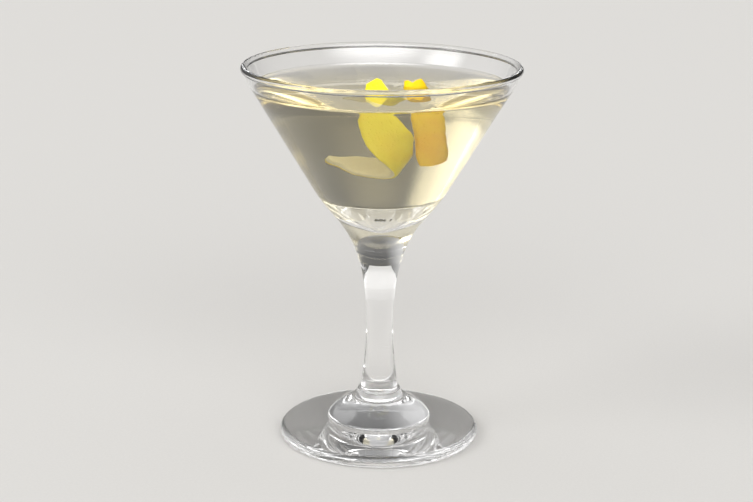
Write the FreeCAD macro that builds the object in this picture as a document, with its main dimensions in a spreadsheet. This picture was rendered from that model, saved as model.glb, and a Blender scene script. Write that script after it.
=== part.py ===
# Martini cocktail: a stemmed glass filled to just under its rim, with two strips of
# lemon peel in the drink.
#
# The glass is one turned solid: a pressed foot with a domed middle and a stepped
# collar, a solid drawn stem that flares into a heavy-bottomed cone, and a fire-polished
# bead round the rim.  The drink fills the bowl's room up to the fill level, and both
# strips of peel are cut out of it.
#
# Origin: middle of the foot's underside.  +Z runs up the stem, and the front faces -Y.
# All lengths are in millimetres and all angles in degrees.

import FreeCAD, Part
import math
import os
import Sketcher
from FreeCAD import Vector

# ------------------------------------------------------------- driving dimensions

SIZES = {
    "Whole glass": {
        "total_height": 154.0,
        "rim_radius": 55.5,
        "foot_radius": 40.6,
    },
    "Wall and rim": {
        "wall": 1.6,
        "bead_radius": 1.33,
        "rim_turn_depth": 8.6,
        "rim_turn_radius": 30.0,
        "rim_turn_bow": 0.934,
        "rim_turn_inset": "=bead_radius + (rim_turn_depth - 2 * bead_radius)"
                          " * (rim_radius - shoulder_radius)"
                          " / (total_height - shoulder_height) - rim_turn_bow",
    },
    "Shoulder, where the cone meets the drawn stem": {
        "shoulder_radius": 24.9,
        "shoulder_height": 100.6,
        "shoulder_round": 60.0,
        "flare_rise": 45.0,
        "throat_swell": 3.08,
        "throat_rise": 27.0,
        "neck_rise": 15.0,
    },
    "Stem": {
        "waist_radius": 5.42,
        "waist_height": 47.0,
        "waist_curve": 137.0,
        "stem_base_radius": 7.55,
    },
    "Well, the bottom of the bowl's room": {
        "well_height": 102.3,
        "well_floor": 91.4,
        "well_tip_radius": 5.0,
        "well_round": 3.0,
    },
    "Collar and foot": {
        "upper_ring_radius": 8.7,
        "upper_ring_height": 19.9,
        "collar_root_radius": 9.8,
        "lower_ring_radius": 11.2,
        "lower_ring_height": 16.4,
        "ring_round": 0.45,
        "dome_radius": 21.0,
        "dome_edge_height": 8.9,
        "dome_crown": 28.0,
        "dome_round": 1.5,
        "foot_rise": 6.6,
        "foot_edge": 4.4,
        "foot_top_round": 2.2,
        "foot_under_round": 2.0,
    },
    "Drink": {
        "fill_depth": 9.1,
    },
    "Peel of both strips": {
        "peel_thickness": 2.3,
        "peel_crown": 0.5,
    },
    "Long twist": {
        "twist_width": 12.0,
        "twist_length": 57.0,
        "twist_above": 5.0,
        "twist_across": -3.1,
        "twist_depth": -8.5,
        "twist_fall": 77.0,
        "twist_lift": 14.0,
        "twist_sweep": 178.0,
        "twist_fall_from": 10.0,
        "twist_fall_to": 50.0,
        "twist_sweep_from": 14.0,
        "twist_sweep_to": 47.0,
        "twist_roll": 48.0,
        "twist_roll_from": 18.0,
        "twist_roll_to": 44.0,
        "twist_tail": 10.0,
        "twist_tail_width": 5.0,
        "twist_belly": 2.6,
        "twist_belly_from": 4.0,
        "twist_belly_to": 32.0,
        "twist_head": 7.0,
        "twist_head_width": 6.5,
        "twist_head_slant": 0.25,
    },
    "Short strip": {
        "strip_width": 9.6,
        "strip_length": 27.0,
        "strip_above": 3.4,
        "strip_across": 12.8,
        "strip_depth": -0.4,
        "strip_fall": 84.5,
        "strip_face_turn": 12.0,
        "strip_curl": 34.0,
        "strip_end": 5.0,
        "strip_end_width": 7.4,
        "strip_end_slant": 0.3,
    },
}

doc = FreeCAD.newDocument("martini_cocktail")

sizes = doc.addObject("Spreadsheet::Sheet", "sizes")
row = 1
for group, cells in SIZES.items():
    sizes.set("A%d" % row, group)
    for alias, value in cells.items():
        row += 1
        sizes.set("A%d" % row, alias.replace("_", " "))
        sizes.set("B%d" % row, str(value))
        sizes.setAlias("B%d" % row, alias)
    row += 2
doc.recompute()


def size(name):
    """The number that the sheet holds under this alias."""
    return float(sizes.get(name))


def bound(terms):
    """'rim_radius - wall' as an expression on the sheet."""
    return " ".join(t if t in "+-" else "sizes." + t for t in terms.split())


def worth(terms):
    """The number that the same words come to now."""
    total, sign = 0.0, 1
    for term in terms.split():
        if term in "+-":
            sign = 1 if term == "+" else -1
        else:
            total += sign * size(term)
    return total


# ---------------------------------------------------------------- turned outlines

START, END, CENTRE = 0, 1, 2


class Outline:
    """Half of a turned profile: sketch X is the radius and sketch Y the height.

    Each stretch is drawn roughly in place, and the constraints bound to the sheet
    then set it exactly.  A stretch is (geometry index, its vertices START to CENTRE).
    """

    def __init__(self, body, name):
        self.sketch = body.newObject("Sketcher::SketchObject", name)
        planes = {plane.Role: plane for plane in body.Origin.OriginFeatures}
        self.sketch.AttachmentSupport = [(planes["XZ_Plane"], "")]
        self.sketch.MapMode = "FlatFace"

    def line(self, start, end):
        stretch = Part.LineSegment(Vector(*start, 0), Vector(*end, 0))
        return self.sketch.addGeometry(stretch, False), (1, 2)

    def arc(self, start, end, radius, side):
        """An arc whose centre is to the left (+1) or right (-1) of its run."""
        a, b = Vector(*start, 0), Vector(*end, 0)
        half = (b - a) * 0.5
        reach = math.sqrt(max(radius ** 2 - half.Length ** 2, 0.0))
        centre = a + half + Vector(-half.y, half.x, 0).normalize() * side * reach
        first = math.atan2(a.y - centre.y, a.x - centre.x)
        last = math.atan2(b.y - centre.y, b.x - centre.x)
        vertices = (1, 2, 3)
        if side < 0:
            first, last, vertices = last, first, (2, 1, 3)
        circle = Part.Circle(centre, Vector(0, 0, 1), (a - centre).Length)
        stretch = Part.ArcOfCircle(circle, first, last)
        return self.sketch.addGeometry(stretch, False), vertices

    def tie(self, kind, *items):
        return self.sketch.addConstraint(Sketcher.Constraint(kind, *items))

    def dimension(self, kind, *items_and_terms):
        """A dimension whose last item is its value in the sheet's words."""
        *items, terms = items_and_terms
        index = self.tie(kind, *items, worth(terms))
        self.sketch.setExpression("Constraints[%d]" % index, bound(terms))

    def place(self, stretch, vertex, radius=None, height=None):
        spot = (stretch[0], stretch[1][vertex])
        if radius:
            self.dimension("DistanceX", -1, 1, *spot, radius)
        if height:
            self.dimension("DistanceY", -1, 1, *spot, height)

    def on_axis(self, stretch, vertex):
        self.tie("PointOnObject", stretch[0], stretch[1][vertex], -2)

    def chain(self, kind, *run):
        """Joins each stretch's end to the next one's start, sharply or smoothly."""
        for before, after in zip(run, run[1:]):
            self.tie(kind, before[0], before[1][END], after[0], after[1][START])


def share(a, b, part):
    """The point that lies this part of the way from a to b."""
    return a[0] + (b[0] - a[0]) * part, a[1] + (b[1] - a[1]) * part


def cone_line():
    """The outer cone, from the shoulder's corner to the turn below the bead."""
    return ((size("shoulder_radius"), size("shoulder_height")),
            (worth("rim_radius - rim_turn_inset"), worth("total_height - rim_turn_depth")))


def bead_arc(outline, start, end, side):
    """A stretch of the bead's round section, from one point of the profile to another."""
    bead = outline.arc(start, end, size("bead_radius"), side)
    outline.place(bead, CENTRE, "rim_radius - bead_radius", "total_height - bead_radius")
    outline.dimension("Radius", bead[0], "bead_radius")
    outline.tie("Vertical", bead[0], 3, bead[0], bead[1][END])
    return bead


def turned(body, sketch):
    """A full turn of the sketch about its own upright axis."""
    turn = body.newObject("PartDesign::Revolution", sketch.Name + "_turned")
    turn.Profile = sketch
    turn.ReferenceAxis = (sketch, ["V_Axis"])
    turn.Angle = 360.0
    return turn


def glass_outline(body):
    """The glass's outside, from the foot to the top of the bead, closed on its axis."""
    out = Outline(body, "glass_outside")
    waist, waist_height = size("waist_radius"), size("waist_height")
    opening = size("waist_curve") - math.sqrt(size("waist_curve") ** 2
                                              - size("neck_rise") ** 2)
    shoulder, cone_top = cone_line()
    foot = (size("foot_radius"), size("foot_edge"))
    dome = (size("dome_radius"), size("foot_rise"))
    dome_edge = (dome[0], size("dome_edge_height"))
    lower_ring = (size("lower_ring_radius"), size("lower_ring_height"))
    root = (size("collar_root_radius"), lower_ring[1])
    upper_ring = (size("upper_ring_radius"), size("upper_ring_height"))
    stem = (size("stem_base_radius"), upper_ring[1])
    curl = (waist + opening, waist_height - size("neck_rise"))
    neck = (waist + opening, waist_height + size("neck_rise"))
    throat = (waist + size("throat_swell"), waist_height + size("throat_rise"))
    flare = (share(throat, shoulder, 0.57)[0], waist_height + size("flare_rise"))
    bead_top = (worth("rim_radius - bead_radius"), size("total_height"))
    notch = (bead_top[0] + size("bead_radius") * 0.3, bead_top[1] - size("bead_radius") * 1.95)

    under = out.line((0, 0), (foot[0], 0))
    rim_of_foot = out.line((foot[0], 0), foot)
    plate = out.line(foot, dome)
    dome_wall = out.line(dome, dome_edge)
    crown = out.arc(dome_edge, lower_ring, size("dome_crown"), 1)
    ledge = out.line(lower_ring, root)
    collar = out.line(root, upper_ring)
    landing = out.line(upper_ring, stem)
    taper = out.line(stem, curl)
    waist_arc = out.arc(curl, neck, size("waist_curve"), -1)
    neck_arc = out.arc(neck, throat, size("waist_curve") / 2, -1)
    throat_arc = out.arc(throat, flare, size("waist_curve") / 3, -1)
    slope = out.line(flare, share(flare, shoulder, 0.6))
    shoulder_arc = out.arc(share(flare, shoulder, 0.6), share(shoulder, cone_top, 0.1),
                           size("shoulder_round"), 1)
    cone = out.line(share(shoulder, cone_top, 0.1), cone_top)
    rim_turn = out.arc(cone_top, notch, size("rim_turn_radius"), 1)
    bead = bead_arc(out, notch, bead_top, 1)
    lid = out.line(bead_top, (0, bead_top[1]))
    axis = out.line((0, bead_top[1]), (0, 0))

    out.chain("Coincident", under, rim_of_foot, plate, dome_wall, crown, ledge, collar,
              landing, taper)
    out.chain("Tangent", taper, waist_arc, neck_arc, throat_arc, slope, shoulder_arc,
              cone, rim_turn)
    out.chain("Coincident", rim_turn, bead, lid, axis, under)
    out.tie("Coincident", under[0], 1, -1, 1)
    out.on_axis(lid, END)
    for level in (under, ledge, landing, lid):
        out.tie("Horizontal", level[0])
    for upright in (rim_of_foot, dome_wall):
        out.tie("Vertical", upright[0])

    out.place(rim_of_foot, END, "foot_radius", "foot_edge")
    out.place(dome_wall, START, "dome_radius", "foot_rise")
    out.place(dome_wall, END, None, "dome_edge_height")
    out.dimension("Radius", crown[0], "dome_crown")
    out.place(ledge, START, "lower_ring_radius", "lower_ring_height")
    out.place(ledge, END, "collar_root_radius")
    out.place(landing, START, "upper_ring_radius", "upper_ring_height")
    out.place(landing, END, "stem_base_radius")
    out.place(waist_arc, CENTRE, "waist_radius + waist_curve", "waist_height")
    out.dimension("Radius", waist_arc[0], "waist_curve")
    out.place(waist_arc, END, None, "waist_height + neck_rise")
    out.place(neck_arc, END, "waist_radius + throat_swell", "waist_height + throat_rise")
    out.place(throat_arc, END, None, "waist_height + flare_rise")
    out.dimension("Radius", shoulder_arc[0], "shoulder_round")
    corner = out.sketch.addGeometry(Part.Point(Vector(*shoulder, 0)), True)
    out.tie("PointOnObject", corner, 1, slope[0])
    out.tie("PointOnObject", corner, 1, cone[0])
    out.place((corner, (1,)), START, "shoulder_radius", "shoulder_height")
    out.place(cone, END, "rim_radius - rim_turn_inset", "total_height - rim_turn_depth")
    out.dimension("Radius", rim_turn[0], "rim_turn_radius")
    return out.sketch


def room_outline(body):
    """The room inside the bowl, from the floor of its well to the top of the bead.

    A construction copy of the outer cone keeps the room's cone one wall inside it.
    """
    room = Outline(body, "bowl_room_outline")
    shoulder, cone_top = cone_line()
    run = Vector(cone_top[0] - shoulder[0], cone_top[1] - shoulder[1], 0).normalize()
    level_wall = size("wall") / run.y
    well = (shoulder[0] - level_wall
            + (size("well_height") - shoulder[1]) * run.x / run.y, size("well_height"))
    tip = size("well_tip_radius")
    floor_end = (tip * 0.4, size("well_floor") + tip * 0.1)
    high = (cone_top[0] - level_wall, cone_top[1])
    bead_top = (worth("rim_radius - bead_radius"), size("total_height"))
    lip = (bead_top[0] - size("bead_radius") * 0.85, bead_top[1] - size("bead_radius") * 1.5)

    guide = room.line(shoulder, cone_top)
    room.sketch.toggleConstruction(guide[0])
    floor = room.arc((0, size("well_floor")), floor_end, tip, 1)
    slope = room.line(floor_end, share(well, floor_end, 0.1))
    well_arc = room.arc(share(well, floor_end, 0.1), share(well, high, 0.04),
                        size("well_round"), 1)
    cone = room.line(share(well, high, 0.04), high)
    rim_turn = room.arc(high, lip, worth("rim_turn_radius - wall"), 1)
    bead = bead_arc(room, lip, bead_top, -1)
    lid = room.line(bead_top, (0, bead_top[1]))
    axis = room.line((0, bead_top[1]), (0, size("well_floor")))

    room.chain("Tangent", floor, slope, well_arc, cone, rim_turn)
    room.chain("Coincident", rim_turn, bead, lid, axis, floor)
    room.tie("Horizontal", lid[0])
    room.on_axis(lid, END)
    room.on_axis(floor, START)
    room.on_axis(floor, CENTRE)

    room.place(guide, START, "shoulder_radius", "shoulder_height")
    room.place(guide, END, "rim_radius - rim_turn_inset", "total_height - rim_turn_depth")
    room.tie("Parallel", guide[0], cone[0])
    room.dimension("Distance", cone[0], cone[1][END], guide[0], "wall")
    room.place(cone, END, None, "total_height - rim_turn_depth")
    room.place(floor, START, None, "well_floor")
    room.dimension("Radius", floor[0], "well_tip_radius")
    room.dimension("Radius", well_arc[0], "well_round")
    corner = room.sketch.addGeometry(Part.Point(Vector(*well, 0)), True)
    room.tie("PointOnObject", corner, 1, slope[0])
    room.tie("PointOnObject", corner, 1, cone[0])
    room.place((corner, (1,)), START, None, "well_height")
    room.dimension("Radius", rim_turn[0], "rim_turn_radius - wall")
    return room.sketch


def circle_edges(solid, spots):
    """The names of a turned solid's round edges at these radii and heights."""
    names = []
    for radius, height in spots:
        for number, edge in enumerate(solid.Edges, 1):
            curve = edge.Curve
            if (isinstance(curve, Part.Circle) and abs(curve.Radius - radius) < 1e-3
                    and abs(curve.Center.z - height) < 1e-3):
                names.append("Edge%d" % number)
    return names


def rounded(body, base, edge_spots, radius):
    """Rounds the base's circular edges at these spots by one named radius."""
    doc.recompute()
    spots = [(worth(r), worth(z)) for r, z in edge_spots]
    fillet = body.newObject("PartDesign::Fillet", radius + "_fillet")
    fillet.Base = (base, circle_edges(base.Shape, spots))
    fillet.setExpression("Radius", bound(radius))
    return fillet


# ---------------------------------------------------------- the glass and its room

blank = doc.addObject("PartDesign::Body", "glass_blank")
step = turned(blank, glass_outline(blank))
step = rounded(blank, step, [("foot_radius", "foot_edge")], "foot_top_round")
step = rounded(blank, step, [("foot_radius", "foot_edge - foot_edge")], "foot_under_round")
step = rounded(blank, step, [("dome_radius", "dome_edge_height")], "dome_round")
step = rounded(blank, step, [("lower_ring_radius", "lower_ring_height"),
                             ("collar_root_radius", "lower_ring_height"),
                             ("upper_ring_radius", "upper_ring_height"),
                             ("stem_base_radius", "upper_ring_height")], "ring_round")

room = doc.addObject("PartDesign::Body", "bowl_room")
turned(room, room_outline(room))
doc.recompute()

glass = doc.addObject("Part::Cut", "glass")
glass.Label = "glass"
glass.Base, glass.Tool = blank, room


# ------------------------------------------------------------------ the lemon peel

ACROSS = (-1.0, -0.5, 0.0, 0.5, 1.0)


def ease(value, low, high):
    """0 below low and 1 above high, with a smooth change between."""
    part = min(max((value - low) / (high - low), 0.0), 1.0)
    return part * part * (3 - 2 * part)


def peel_section(centre, along, face, width, slant, arch):
    """One closed section across a strip: its zest side, then its pith side.

    The face points out of the zest.  The slant shears the section along the strip, as
    a knife's oblique cut does, and the arch bows its width by that many millimetres.
    """
    across = face.cross(along).normalize()
    half = size("peel_thickness") / 2
    points = []
    for side in (1, -1):
        for part in ACROSS[::side]:
            bulge = size("peel_crown") * (1 - part * part) if side > 0 else 0.0
            offset = half * side + bulge + arch * (1 - part * part)
            points.append(centre + across * (part * width / 2) + face * offset
                          + along * (slant * part * width / 2))
    return Part.makePolygon(points + points[:1])


def strip_of_peel(sections, name):
    solid = Part.makeLoft(sections, True, False)
    strip = doc.addObject("Part::Feature", name)
    strip.Label = name
    strip.Shape = solid
    strip.Placement.Base = Vector(0, 0, 0)
    return strip


def long_twist():
    """A strip that drops from above the drink, turns back behind itself and levels out.

    Its fall below level and its heading in plan each ease from one value to another
    along its length, and its tail rolls over so that the pith looks up.  It was pared
    widest part of the way down, on its right.
    """
    length, steps = size("twist_length"), 24
    fine = 10
    spot = Vector(size("twist_across"), size("twist_depth"),
                  worth("total_height - fill_depth + twist_above"))
    sections = []
    for index in range(steps * fine + 1):
        run = length * index / (steps * fine)
        drop = ease(run, size("twist_fall_from"), size("twist_fall_to"))
        fall = math.radians(size("twist_fall") - worth("twist_fall + twist_lift") * drop)
        heading = math.radians(size("twist_sweep")
                               * ease(run, size("twist_sweep_from"), size("twist_sweep_to")))
        along = Vector(math.cos(fall) * math.cos(heading),
                       math.cos(fall) * math.sin(heading), -math.sin(fall))
        if index % fine == 0:
            level_face = Vector(math.sin(heading), -math.cos(heading), 0)
            roll = math.radians(size("twist_roll")
                                * ease(run, size("twist_roll_from"), size("twist_roll_to")))
            face = level_face * math.cos(roll) + along.cross(level_face) * math.sin(roll)
            head = 1 - ease(run, -size("twist_head") / 2, size("twist_head"))
            tail = ease(run, length - size("twist_tail"), length)
            middle = worth("twist_belly_from + twist_belly_to") / 2
            belly = (size("twist_belly") * ease(run, size("twist_belly_from"), middle)
                     * (1 - ease(run, middle, size("twist_belly_to"))))
            width = (size("twist_width") + worth("twist_head_width - twist_width") * head
                     + worth("twist_tail_width - twist_width") * tail + belly)
            centre = spot + face.cross(along).normalize() * (belly / 2)
            sections.append(peel_section(centre, along, face, width,
                                         size("twist_head_slant") * head, 0.0))
        spot = spot + along * (length / (steps * fine))
    return sections


def short_strip():
    """A shorter strip beside the twist, nearly upright and bowed across its width."""
    length, steps = size("strip_length"), 8
    turn, fall = math.radians(size("strip_face_turn")), math.radians(size("strip_fall"))
    face = Vector(math.sin(turn), -math.cos(turn), 0)
    side = Vector(math.cos(turn), math.sin(turn), 0)
    along = side * math.cos(fall) - Vector(0, 0, 1) * math.sin(fall)
    top = Vector(size("strip_across"), size("strip_depth"),
                 worth("total_height - fill_depth + strip_above"))
    arch = size("strip_width") ** 2 / (8 * size("strip_curl"))
    sections = []
    for index in range(steps + 1):
        run = length * index / steps
        ends = (1 - ease(run, -size("strip_end") / 2, size("strip_end"))
                + ease(run, length - size("strip_end"), length + size("strip_end") / 2))
        width = size("strip_width") + worth("strip_end_width - strip_width") * ends
        sections.append(peel_section(top + along * run, along, face, width,
                                     size("strip_end_slant") * ends, arch))
    return sections


lemon_twist = strip_of_peel(long_twist(), "lemon_twist")
lemon_strip = strip_of_peel(short_strip(), "lemon_strip")


# ------------------------------------------------------------------------ the drink

below_level = doc.addObject("Part::Cylinder", "below_fill_level")
below_level.setExpression("Radius", bound("rim_radius"))
below_level.setExpression("Height", bound("total_height - fill_depth"))

filling = doc.addObject("Part::Common", "filling")
filling.Base, filling.Tool = room, below_level

round_twist = doc.addObject("Part::Cut", "filling_round_twist")
round_twist.Base, round_twist.Tool = filling, lemon_twist

drink = doc.addObject("Part::Cut", "drink")
drink.Label = "drink"
drink.Base, drink.Tool = round_twist, lemon_strip

doc.recompute()


# --------------------------------------------------------------- checks and export

for item in doc.Objects:
    if "Invalid" in item.State or "Error" in item.State:
        raise RuntimeError("%s failed to rebuild: %s" % (item.Name, item.State))

os.makedirs("parts", exist_ok=True)
for part in (glass, drink, lemon_twist, lemon_strip):
    if part.Shape.isNull() or not part.Shape.isValid() or len(part.Shape.Solids) != 1:
        raise RuntimeError("%s isn't one sound solid" % part.Label)
    part.Shape.exportStep("parts/%s.step" % part.Label)
    box = part.Shape.optimalBoundingBox(True, False)
    print("%s: %.2f x %.2f x %.2f mm, volume %.1f mm3"
          % (part.Label, box.XLength, box.YLength, box.ZLength, part.Shape.Volume))
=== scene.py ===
import math
import bmesh
import bpy
import numpy as np
from mathutils import Matrix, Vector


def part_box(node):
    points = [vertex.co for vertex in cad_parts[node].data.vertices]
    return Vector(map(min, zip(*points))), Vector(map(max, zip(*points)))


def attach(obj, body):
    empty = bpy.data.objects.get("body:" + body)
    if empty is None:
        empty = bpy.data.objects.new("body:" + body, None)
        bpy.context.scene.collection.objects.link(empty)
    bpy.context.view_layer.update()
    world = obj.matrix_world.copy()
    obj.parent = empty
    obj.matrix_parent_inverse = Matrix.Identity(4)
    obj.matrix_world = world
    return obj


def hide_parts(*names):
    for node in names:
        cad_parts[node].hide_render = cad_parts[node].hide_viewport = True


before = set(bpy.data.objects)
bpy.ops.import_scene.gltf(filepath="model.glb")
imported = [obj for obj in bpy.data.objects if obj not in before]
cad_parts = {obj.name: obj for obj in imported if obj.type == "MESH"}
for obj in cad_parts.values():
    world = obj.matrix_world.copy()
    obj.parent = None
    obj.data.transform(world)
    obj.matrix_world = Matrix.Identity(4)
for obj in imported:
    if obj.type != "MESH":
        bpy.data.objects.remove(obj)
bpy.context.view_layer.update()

# ----------------------------------------------------------------- where it is seen from
# A long lens a little above the rim and 0.7 m off, looking down at the front of the
# glass.  It is rolled by half a degree, so the stem leans that much in the frame.
eye = bpy.data.cameras.new("eye")
eye.lens, eye.sensor_width = 85.4, 36.0
camera = bpy.data.objects.new("camera", eye)
camera.matrix_world = (Matrix.Translation((-0.00155, -0.6927, 0.2760))
                       @ Matrix.Rotation(math.radians(90 - 15.96), 4, "X")
                       @ Matrix.Rotation(0.0087, 4, "Z"))
bpy.context.scene.collection.objects.link(camera)
bpy.context.scene.camera = camera

# ------------------------------------------------------------------------------ the glass
# One piece of clear soda-lime glass: a bowl, a drawn stem and a pressed foot, with the
# rim melted round in a flame.  Drawing leaves faint upright streaks down its length.
def place(tree, kind, feeds=None, **values):
    """A new node with its inputs and settings filled in, and these links made into it."""
    made = tree.nodes.new(kind)
    for name, value in values.items():
        if name in made.inputs:
            made.inputs[name].default_value = value
        else:
            setattr(made, name, value)
    for socket, source in (feeds or {}).items():
        tree.links.new(source, made.inputs[socket])
    return made


def finish(name, **values):
    """A new material and its Principled shader, with the shader's plain values set."""
    material = bpy.data.materials.new(name)
    material.use_nodes = True
    shader = material.node_tree.nodes["Principled BSDF"]
    for socket, value in values.items():
        shader.inputs[socket.replace("_", " ")].default_value = value
    return material, material.node_tree, shader


def effect(name, inputs, outputs):
    """An empty shader node group with these named sockets, and its two end nodes."""
    group = bpy.data.node_groups.new(name, "ShaderNodeTree")
    for socket, kind, value in inputs:
        made = group.interface.new_socket(name=socket, in_out="INPUT",
                                          socket_type="NodeSocket" + kind)
        made.default_value = value
    for socket, kind in outputs:
        group.interface.new_socket(name=socket, in_out="OUTPUT",
                                   socket_type="NodeSocket" + kind)
    return group, group.nodes.new("NodeGroupInput"), group.nodes.new("NodeGroupOutput")


# Slow waves in a clear surface, drawn out along the height.
waves, given, made = effect("slow_waves",
                            [("Waves per metre", "Float", 40.0), ("Upright stretch", "Float", 1.0),
                             ("Depth", "Float", 0.0002)],
                            [("Normal", "Vector")])
spot = place(waves, "ShaderNodeTexCoord")
shrink = place(waves, "ShaderNodeCombineXYZ", {"Z": given.outputs["Upright stretch"]}, X=1.0, Y=1.0)
drawn = place(waves, "ShaderNodeVectorMath",
              {0: spot.outputs["Object"], 1: shrink.outputs["Vector"]}, operation="MULTIPLY")
swell = place(waves, "ShaderNodeTexNoise",
              {"Vector": drawn.outputs["Vector"], "Scale": given.outputs["Waves per metre"]},
              Detail=1.5, Roughness=0.4)
tilt = place(waves, "ShaderNodeBump",
             {"Height": swell.outputs["Fac"], "Distance": given.outputs["Depth"]}, Strength=1.0)
waves.links.new(tilt.outputs["Normal"], made.inputs["Normal"])

clear_glass, tree, shader = finish("clear_glass", Base_Color=(1, 1, 1, 1), Roughness=0.0,
                                   IOR=1.5, Transmission_Weight=1.0)
ripple = place(tree, "ShaderNodeGroup", node_tree=waves)
ripple.inputs["Waves per metre"].default_value = 55.0
ripple.inputs["Upright stretch"].default_value = 0.3
ripple.inputs["Depth"].default_value = 0.00004
tree.links.new(ripple.outputs["Normal"], shader.inputs["Normal"])

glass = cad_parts["glass"]
glass.data.materials.clear()
glass.data.materials.append(clear_glass)

# ------------------------------------------------------------------- the long lemon twist
# A ribbon pared off a lemon with a knife: yellow zest full of oil pores over white pith.
# It hangs from above the drink's surface and curls round behind itself at its lower end.
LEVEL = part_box("drink")[1].z
PEEL_THICKNESS = 0.0023
TWIST_LENGTH, TWIST_WIDTH = 0.057, 0.012


def ease(value, low, high):
    """0 below low and 1 above high, with a smooth change between."""
    part = np.clip((value - low) / (high - low), 0.0, 1.0)
    return part * part * (3 - 2 * part)


def new_piece(name, corners, faces, material):
    """A smooth closed mesh object with its faces turned outwards."""
    mesh = bpy.data.meshes.new(name)
    mesh.from_pydata([tuple(corner) for corner in corners], [], faces)
    turned = bmesh.new()
    turned.from_mesh(mesh)
    bmesh.ops.recalc_face_normals(turned, faces=turned.faces)
    turned.to_mesh(mesh)
    turned.free()
    mesh.polygons.foreach_set("use_smooth", [True] * len(mesh.polygons))
    mesh.materials.append(material)
    piece = bpy.data.objects.new(name, mesh)
    bpy.context.scene.collection.objects.link(piece)
    return piece


def pared_ribbon(name, spine, along, face, widths, bow, cuts, seed, material):
    """A ribbon of peel swept down its spine, with knife-cut ends and slightly ragged sides.

    cuts gives for each end how far its edge runs back, in metres, at points across the
    ribbon from -1 to 1.  Each corner keeps its depth, 0 on the zest and 1 on the pith.
    """
    across = np.linspace(-1, 1, 33)
    sides = np.linspace(0, 1, 9)[1:-1]
    ring = ([(a, 0.0) for a in across] + [(1.0, d) for d in sides]
            + [(a, 1.0) for a in across[::-1]] + [(-1.0, d) for d in sides[::-1]])
    wide, around = len(across) - 1, len(ring)
    chance = np.random.default_rng(seed)
    phases = chance.uniform(0, 6.28, 8)
    runs = np.concatenate([[0], np.cumsum(np.linalg.norm(np.diff(spine, axis=0), axis=1))])
    length = runs[-1]
    corners, depths = [], []
    for i, run in enumerate(runs):
        side = np.cross(face[i], along[i])
        side /= np.linalg.norm(side)
        ragged = [0.00016 * math.sin(run * 260 + phases[0]) + 0.00004 * math.sin(run * 1500 + phases[1]),
                  0.00016 * math.sin(run * 230 + phases[2]) + 0.00004 * math.sin(run * 1300 + phases[3])]
        for part, deep in ring:
            edge = abs(part) ** 8
            rounding = 1 - 0.16 * abs(2 * deep - 1) ** 3 * edge * 0.0015 / (widths[i] / 2)
            thickness = PEEL_THICKNESS * (1 - 0.30 * edge)
            swell = 0.0005 * (1 - part * part) * (1 - deep)
            lumps = 0.00012 * (math.sin(run * 520 + part * 4 + phases[4])
                               * math.cos(part * 5 + run * 260 + phases[5])) * (0.4 + deep)
            back = (np.interp(part, *cuts[0]) * (1 - ease(run, 0, 0.009))
                    - np.interp(part, *cuts[1]) * ease(run, length - 0.009, length))
            shear = 0.00035 * (deep - 0.5) * ((1 - ease(run, 0, 0.004)) - ease(run, length - 0.004, length))
            out = (part * rounding * widths[i] / 2
                   + (ragged[0] if part < 0 else ragged[1]) * edge)
            corners.append(spine[i] + side * out + along[i] * (back + shear)
                           + face[i] * (thickness * (0.5 - deep) + swell + lumps
                                        + bow[i] * (1 - part * part)))
            depths.append(deep)
    faces = []
    for i in range(len(runs) - 1):
        for k in range(around):
            a, b = i * around + k, i * around + (k + 1) % around
            faces.append((a, b, b + around, a + around))
    for base in (0, (len(runs) - 1) * around):
        opposite = 2 * wide + len(sides) + 1
        faces += [(base + k, base + k + 1, base + opposite - k - 1, base + opposite - k)
                  for k in range(wide)]
        faces.append([base] + [base + opposite + k for k in range(len(sides) + 1)])
        faces.append([base + wide + k for k in range(len(sides) + 2)])
    piece = new_piece(name, corners, faces, material)
    layer = piece.data.attributes.new("depth", "FLOAT", "POINT")
    layer.data.foreach_set("value", depths)
    return piece


# Peel seen close to: pores and ripeness in the zest, fibres in the pith.
grain, given, made = effect("peel_grain",
                            [("Depth", "Float", 0.0), ("Zest", "Color", (1, 1, 0, 1)),
                             ("Ripe zest", "Color", (1, 0.6, 0, 1)), ("Pith", "Color", (1, 1, 1, 1)),
                             ("Ripeness", "Float", 0.5)],
                            [("Color", "Color"), ("Roughness", "Float"), ("Height", "Float")])
spot = place(grain, "ShaderNodeTexCoord")
pores = place(grain, "ShaderNodeTexVoronoi", {"Vector": spot.outputs["Object"]}, Scale=780.0)
pit = place(grain, "ShaderNodeMapRange", {"Value": pores.outputs["Distance"]},
            interpolation_type="SMOOTHSTEP")
pit.inputs["From Max"].default_value = 0.42
blush = place(grain, "ShaderNodeTexNoise", {"Vector": spot.outputs["Object"]}, Scale=95.0, Detail=3.0)
ripe = place(grain, "ShaderNodeMapRange", {"Value": blush.outputs["Fac"]},
             interpolation_type="SMOOTHSTEP")
ripe.inputs["From Min"].default_value = 0.38
ripe.inputs["From Max"].default_value = 0.68
ripe_share = place(grain, "ShaderNodeMath", {0: ripe.outputs["Result"], 1: given.outputs["Ripeness"]},
                   operation="MULTIPLY")
zest = place(grain, "ShaderNodeMix", {"Factor": ripe_share.outputs["Value"]}, data_type="RGBA")
grain.links.new(given.outputs["Zest"], zest.inputs[6])
grain.links.new(given.outputs["Ripe zest"], zest.inputs[7])
pitted = place(grain, "ShaderNodeMix", {"Factor": pit.outputs["Result"]}, data_type="RGBA")
deeper = place(grain, "ShaderNodeMix", data_type="RGBA", blend_type="MULTIPLY")
deeper.inputs[0].default_value = 1.0
deeper.inputs[7].default_value = (0.95, 0.89, 0.72, 1)
grain.links.new(zest.outputs[2], deeper.inputs[6])
grain.links.new(deeper.outputs[2], pitted.inputs[6])
grain.links.new(zest.outputs[2], pitted.inputs[7])
threads = place(grain, "ShaderNodeTexNoise", {"Vector": spot.outputs["Object"]},
                Scale=1400.0, Detail=4.0, Roughness=0.65)
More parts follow.
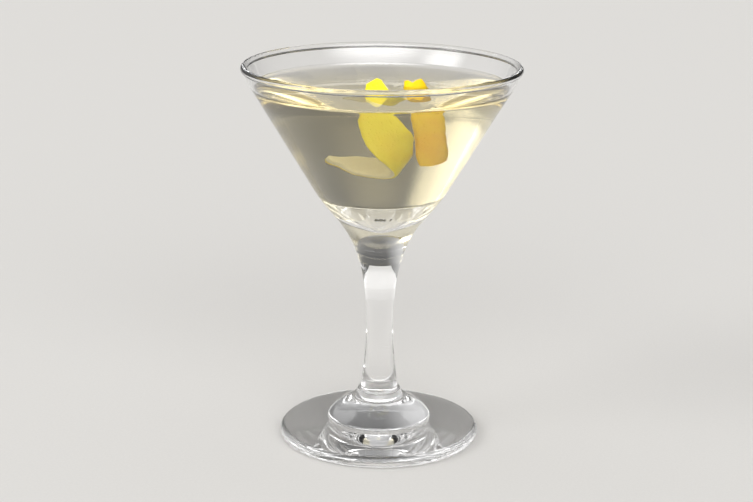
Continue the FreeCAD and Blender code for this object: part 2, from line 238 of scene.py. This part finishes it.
woolly = place(grain, "ShaderNodeMix", {"Factor": threads.outputs["Fac"]}, data_type="RGBA")
shade = place(grain, "ShaderNodeMix", data_type="RGBA", blend_type="MULTIPLY")
shade.inputs[0].default_value = 1.0
shade.inputs[7].default_value = (0.90, 0.85, 0.72, 1)
grain.links.new(given.outputs["Pith"], shade.inputs[6])
grain.links.new(shade.outputs[2], woolly.inputs[6])
grain.links.new(given.outputs["Pith"], woolly.inputs[7])
wander = place(grain, "ShaderNodeMath", {0: blush.outputs["Fac"], 2: given.outputs["Depth"]},
               operation="MULTIPLY_ADD")
wander.inputs[1].default_value = 0.22
layer = place(grain, "ShaderNodeMapRange", {"Value": wander.outputs["Value"]},
              interpolation_type="SMOOTHSTEP")
layer.inputs["From Min"].default_value = 0.36
layer.inputs["From Max"].default_value = 0.56
whole = place(grain, "ShaderNodeMix", {"Factor": layer.outputs["Result"]}, data_type="RGBA")
grain.links.new(pitted.outputs[2], whole.inputs[6])
grain.links.new(woolly.outputs[2], whole.inputs[7])
gloss = place(grain, "ShaderNodeMapRange", {"Value": layer.outputs["Result"]})
gloss.inputs["To Min"].default_value = 0.36
gloss.inputs["To Max"].default_value = 0.68
relief = place(grain, "ShaderNodeMix", {"Factor": layer.outputs["Result"]}, data_type="FLOAT")
grain.links.new(pit.outputs["Result"], relief.inputs[2])
grain.links.new(threads.outputs["Fac"], relief.inputs[3])
grain.links.new(whole.outputs[2], made.inputs["Color"])
grain.links.new(gloss.outputs["Result"], made.inputs["Roughness"])
grain.links.new(relief.outputs[0], made.inputs["Height"])


def peel_finish(name, zest, ripe_zest, pith, ripeness):
    """The finish of one ribbon of peel."""
    material, tree, shader = finish(name, IOR=1.42)
    depth = place(tree, "ShaderNodeAttribute", attribute_name="depth")
    skin = place(tree, "ShaderNodeGroup", node_tree=grain)
    tree.links.new(depth.outputs["Fac"], skin.inputs["Depth"])
    for socket, value in (("Zest", zest), ("Ripe zest", ripe_zest), ("Pith", pith),
                          ("Ripeness", ripeness)):
        skin.inputs[socket].default_value = value
    relief = place(tree, "ShaderNodeBump", {"Height": skin.outputs["Height"]},
                   Strength=0.55, Distance=0.00022)
    tree.links.new(skin.outputs["Color"], shader.inputs["Base Color"])
    tree.links.new(skin.outputs["Roughness"], shader.inputs["Roughness"])
    tree.links.new(relief.outputs["Normal"], shader.inputs["Normal"])
    return material


fine = 480
run = np.linspace(0, TWIST_LENGTH, fine + 1)
fall = np.radians(77.0 - 91.0 * ease(run, 0.010, 0.050))
heading = np.radians(178.0 * ease(run, 0.014, 0.047))
along = np.stack([np.cos(fall) * np.cos(heading), np.cos(fall) * np.sin(heading),
                  -np.sin(fall)], 1)
spine = np.concatenate([[(0, 0, 0)], np.cumsum(along[:-1] * TWIST_LENGTH / fine, axis=0)])
spine += (-0.0031, -0.0085, LEVEL + 0.005)
level_face = np.stack([np.sin(heading), -np.cos(heading), 0 * heading], 1)
roll = np.radians(48.0 * ease(run, 0.018, 0.044))[:, None]
face = level_face * np.cos(roll) + np.cross(along, level_face) * np.sin(roll)
head = 1 - ease(run, -0.0035, 0.007)
tail = ease(run, TWIST_LENGTH - 0.010, TWIST_LENGTH)
belly = 0.0026 * ease(run, 0.004, 0.018) * (1 - ease(run, 0.018, 0.032))
widths = TWIST_WIDTH + (0.0065 - TWIST_WIDTH) * head + (0.005 - TWIST_WIDTH) * tail + belly
rightwards = np.cross(face, along)
spine = spine + rightwards * (belly / 2)[:, None] - rightwards * (0.0004 * head)[:, None]
twist_lemon = peel_finish("twist_lemon", (0.97, 0.84, 0.018, 1), (0.96, 0.73, 0.006, 1),
                          (0.92, 0.88, 0.66, 1), 0.55)
keep = slice(0, fine + 1, 3)
twist = pared_ribbon("long_lemon_twist", spine[keep], along[keep], face[keep], widths[keep],
                     -0.0006 * ease(run, 0.006, 0.02)[keep],
                     (([-1, -0.75, 0.35, 0.8, 1], [0.0030, 0.0014, 0.0, 0.0012, 0.0042]),
                      ([-1, -0.4, 0.3, 1], [0.0022, 0.0003, 0.0, 0.0014])), 11, twist_lemon)
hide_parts("lemon_twist")
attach(twist, "root")

# ------------------------------------------------------------------ the short lemon strip
# A second, shorter paring, standing nearly upright beside the twist, bowed across its width
# as the fruit was, with one end out of the drink. Its zest and pith are painted darker and
# more orange than the twist's: painted shade for the strip standing behind the twist.
STRIP_LENGTH, STRIP_WIDTH = 0.027, 0.0096
turn, drop = math.radians(12.0), math.radians(84.5)
steps = 96
outward = np.array([math.sin(turn), -math.cos(turn), 0.0])
sideways = np.array([math.cos(turn), math.sin(turn), 0.0])
down = sideways * math.cos(drop) - np.array([0, 0, math.sin(drop)])
run = np.linspace(0, STRIP_LENGTH, steps + 1)
spine = np.array([0.0128, -0.0004, LEVEL + 0.0034]) + down * run[:, None]
ends = (1 - ease(run, -0.0025, 0.005)
        + ease(run, STRIP_LENGTH - 0.005, STRIP_LENGTH + 0.0025))
# Painted shade: this strip's zest, ripe zest and pith are darker and more orange than the twist's, and it
# has more of the random ripe blotches.
strip_peel_painted_shade = peel_finish("strip_peel_painted_shade", (0.97, 0.69, 0.003, 1), (0.95, 0.57, 0.002, 1),
                          (0.92, 0.84, 0.58, 1), 0.9)
strip = pared_ribbon("short_lemon_strip", spine, np.repeat(down[None], steps + 1, 0),
                     np.repeat(outward[None], steps + 1, 0),
                     STRIP_WIDTH + (0.0074 - STRIP_WIDTH) * ends,
                     np.full(steps + 1, STRIP_WIDTH ** 2 / (8 * 0.034)),
                     (([-1, -0.7, -0.3, 0.1, 0.6, 1], [0.0002, 0.0, 0.0012, 0.0004, 0.0, 0.0022]),
                      ([-1, -0.2, 0.5, 1], [0.0006, 0.0, 0.0005, 0.0016])), 23, strip_peel_painted_shade)
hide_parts("lemon_strip")
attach(strip, "root")

# ------------------------------------------------------------------------------ the drink
# Gin and dry vermouth stirred cold: clear, pale straw.  It fills the bowl from the well
# at its bottom, climbs the wall a little at its edge, and clings to both pieces of peel.
INTO_WALL = 0.00025          # how far the fill reaches into the glass
WALL_LEAN = 0.59821          # how far the bowl's inner wall leans out for its rise
WALL_FOOT = 0.037144         # how far past the axis that line would meet the foot's plane
CLIMB, CLIMB_REACH = 0.0011, 0.0016
TURNS = 288
well_lean, wall_lean = math.radians(25.43), math.radians(59.13)

outline = [(0.005 * math.sin(a), 0.0964 - 0.005 * math.cos(a))
           for a in np.linspace(0, well_lean, 9)]
outline += [(0.002147 + (0.023232 - 0.002147) * p, 0.091884 + (0.10191 - 0.091884) * p)
            for p in np.linspace(0, 1, 24)[1:]]
bend = (0.023232 - 0.003 * math.sin(well_lean), 0.10191 + 0.003 * math.cos(well_lean))
outline += [(bend[0] + 0.003 * math.sin(a), bend[1] - 0.003 * math.cos(a))
            for a in np.linspace(well_lean, wall_lean, 9)[1:]]
brim = (WALL_LEAN * (LEVEL + CLIMB) - WALL_FOOT, LEVEL + CLIMB)
start = outline[-1]
outline += [(start[0] + (brim[0] - start[0]) * p, start[1] + (brim[1] - start[1]) * p)
            for p in np.linspace(0, 1, 60)[1:]]
outline = np.array(outline)
step = np.gradient(outline, axis=0)
step /= np.linalg.norm(step, axis=1)[:, None]
skin = outline + INTO_WALL * np.stack([step[:, 1], -step[:, 0]], 1)
skin[0, 0] = 0.0

# The two places where peel comes through the surface, as lines across it.
through = []
for ribbon_face, ribbon_along, top, across in (
        ((0.0, -1.0, 0.0), (0.225, 0.0, -0.974), (-0.0031, -0.0085, 0.005), 0.0044),
        (tuple(outward), tuple(down), (0.0128, -0.0004, 0.0034), 0.0042)):
    fall_to_level = top[2] / -ribbon_along[2]
    middle = np.array([top[0] + ribbon_along[0] * fall_to_level,
                       top[1] + ribbon_along[1] * fall_to_level])
    reach = np.array([-ribbon_face[1], ribbon_face[0]])
    through.append((middle - reach * across, middle + reach * across))


def clinging(x, y):
    """How far the drink climbs beside the peel here."""
    rise = 0.0
    for one, other in through:
        span = other - one
        share = min(max(((x - one[0]) * span[0] + (y - one[1]) * span[1]) / span.dot(span), 0), 1)
        gap = math.hypot(x - one[0] - span[0] * share, y - one[1] - span[1] * share)
        rise = max(rise, 0.0007 * math.exp(-max(gap - 0.0011, 0.0) / 0.0011))
    return rise


angles = np.linspace(0, 2 * math.pi, TURNS, endpoint=False)
corners = [(0, 0, skin[0, 1])]
for r, z in skin[1:]:
    corners += [(r * math.cos(a), r * math.sin(a), z) for a in angles]
edge = skin[-1, 0]
surface = np.concatenate([edge - 0.010 * np.linspace(0, 1, 36)[1:] ** 1.6,
                          np.linspace(edge - 0.010, 0.0, 84)[1:-1]])
for r in surface:
    rise = CLIMB * math.exp(-max(brim[0] - r, 0.0) / CLIMB_REACH)
    corners += [(r * math.cos(a), r * math.sin(a),
                 LEVEL + max(rise, clinging(r * math.cos(a), r * math.sin(a)))) for a in angles]
corners.append((0, 0, LEVEL + clinging(0, 0)))
rings = len(skin) - 1 + len(surface)
faces = [(0, 1 + (k + 1) % TURNS, 1 + k) for k in range(TURNS)]
for i in range(rings - 1):
    row = 1 + i * TURNS
    faces += [(row + k, row + (k + 1) % TURNS, row + TURNS + (k + 1) % TURNS, row + TURNS + k)
              for k in range(TURNS)]
last = 1 + (rings - 1) * TURNS
faces += [(last + k, last + (k + 1) % TURNS, len(corners) - 1) for k in range(TURNS)]

pale_straw, tree, shader = finish("pale_straw", Base_Color=(1, 1, 1, 1), Roughness=0.0,
                                  IOR=1.345, Transmission_Weight=1.0)
ripple = place(tree, "ShaderNodeGroup", node_tree=waves)
ripple.inputs["Waves per metre"].default_value = 70.0
ripple.inputs["Depth"].default_value = 0.00003
tree.links.new(ripple.outputs["Normal"], shader.inputs["Normal"])
colour_within = place(tree, "ShaderNodeVolumeAbsorption", Color=(0.94, 0.775, 0.14, 1), Density=8.5)
tree.links.new(colour_within.outputs["Volume"], tree.nodes["Material Output"].inputs["Volume"])

drink = new_piece("pale_drink", corners, faces, pale_straw)
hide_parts("drink")
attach(drink, "root")

# ------------------------------------------------------------------ the floor and the light
# A plain pale board, wide enough to run out of sight, under neutral soft studio light.
bpy.ops.mesh.primitive_circle_add(vertices=128, radius=6.0, fill_type="NGON")
floor = bpy.context.object
floor.name = "floor"
floor.location.z = -0.0001
pale_board, tree, shader = finish("pale_board", Roughness=0.85)
spot = place(tree, "ShaderNodeTexCoord")
speck = place(tree, "ShaderNodeTexNoise", {"Vector": spot.outputs["Object"]}, Scale=900.0, Detail=3.0)
tone = place(tree, "ShaderNodeMix", {"Factor": speck.outputs["Fac"]}, data_type="RGBA")
tone.inputs[6].default_value = (0.72, 0.705, 0.68, 1)
tone.inputs[7].default_value = (0.67, 0.655, 0.63, 1)
tree.links.new(tone.outputs[2], shader.inputs["Base Color"])
floor.data.materials.append(pale_board)

studio = bpy.data.worlds.new("studio")
bpy.context.scene.world = studio
studio.use_nodes = True
tree = studio.node_tree
tree.nodes.clear()
direction = place(tree, "ShaderNodeTexCoord").outputs["Generated"]


def softbox(azimuth, elevation, half_width, half_height, blur, colour, strength):
    """A far panel of light, square to one direction, with soft edges, in degrees."""
    turn, lift = math.radians(azimuth), math.radians(elevation)
    towards = (math.sin(turn) * math.cos(lift), math.cos(turn) * math.cos(lift), math.sin(lift))
    right = (math.cos(turn), -math.sin(turn), 0.0)
    up = tuple(np.cross(right, towards))
    lit = None
    ahead = place(tree, "ShaderNodeVectorMath", {0: direction}, operation="DOT_PRODUCT")
    ahead.inputs[1].default_value = towards
    for axis, half in ((right, half_width), (up, half_height)):
        aside = place(tree, "ShaderNodeVectorMath", {0: direction}, operation="DOT_PRODUCT")
        aside.inputs[1].default_value = axis
        ratio = place(tree, "ShaderNodeMath", {0: aside.outputs["Value"], 1: ahead.outputs["Value"]},
                      operation="DIVIDE")
        size = place(tree, "ShaderNodeMath", {0: ratio.outputs["Value"]}, operation="ABSOLUTE")
        mask = place(tree, "ShaderNodeMapRange", {"Value": size.outputs["Value"]},
                     interpolation_type="SMOOTHSTEP")
        reach = math.tan(math.radians(half))
        for socket, value in (("From Min", reach * (1 - blur)), ("From Max", reach * (1 + blur)),
                              ("To Min", 1.0), ("To Max", 0.0)):
            mask.inputs[socket].default_value = value
        lit = mask.outputs["Result"] if lit is None else place(
            tree, "ShaderNodeMath", {0: lit, 1: mask.outputs["Result"]},
            operation="MULTIPLY").outputs["Value"]
    front = place(tree, "ShaderNodeMath", {0: ahead.outputs["Value"]}, operation="GREATER_THAN")
    front.inputs[1].default_value = 0.02
    lit = place(tree, "ShaderNodeMath", {0: lit, 1: front.outputs["Value"]}, operation="MULTIPLY")
    tint = place(tree, "ShaderNodeVectorMath", {"Scale": lit.outputs["Value"]}, operation="SCALE")
    tint.inputs[0].default_value = [part * strength for part in colour]
    return tint.outputs["Vector"]


rise = place(tree, "ShaderNodeSeparateXYZ", {"Vector": direction}).outputs["Z"]
walls = place(tree, "ShaderNodeMapRange", {"Value": rise}, interpolation_type="SMOOTHSTEP")
for socket, value in (("From Min", 0.0), ("From Max", 1.0), ("To Min", 0.10), ("To Max", 0.36)):
    walls.inputs[socket].default_value = value
light = place(tree, "ShaderNodeCombineXYZ", {part: walls.outputs["Result"] for part in "XYZ"}
              ).outputs["Vector"]
for panel in (
        softbox(-117, 34, 14, 11, 0.60, (1.0, 1.0, 1.0), 4.5),      # on the left, a little in front
        softbox(176, 24, 34, 20, 0.85, (1.0, 1.0, 1.0), 5.5),       # broad, in front
        softbox(-66, 24, 42, 26, 0.85, (1.0, 1.0, 1.0), 0.50),      # broad, behind, on the left
        softbox(0, 88, 36, 36, 0.40, (1.0, 1.0, 1.0), 0.30)):       # overhead
    light = place(tree, "ShaderNodeVectorMath", {0: light, 1: panel},
                  operation="ADD").outputs["Vector"]
room = place(tree, "ShaderNodeBackground", {"Color": light})
place(tree, "ShaderNodeOutputWorld", {"Surface": room.outputs["Background"]})
studio.cycles.sampling_method = "MANUAL"
studio.cycles.sample_map_resolution = 1024

scene = bpy.context.scene
scene.view_settings.view_transform = "Standard"
scene.cycles.max_bounces = 28
scene.cycles.transmission_bounces = 28
scene.cycles.glossy_bounces = 12
scene.cycles.sample_clamp_indirect = 8.0
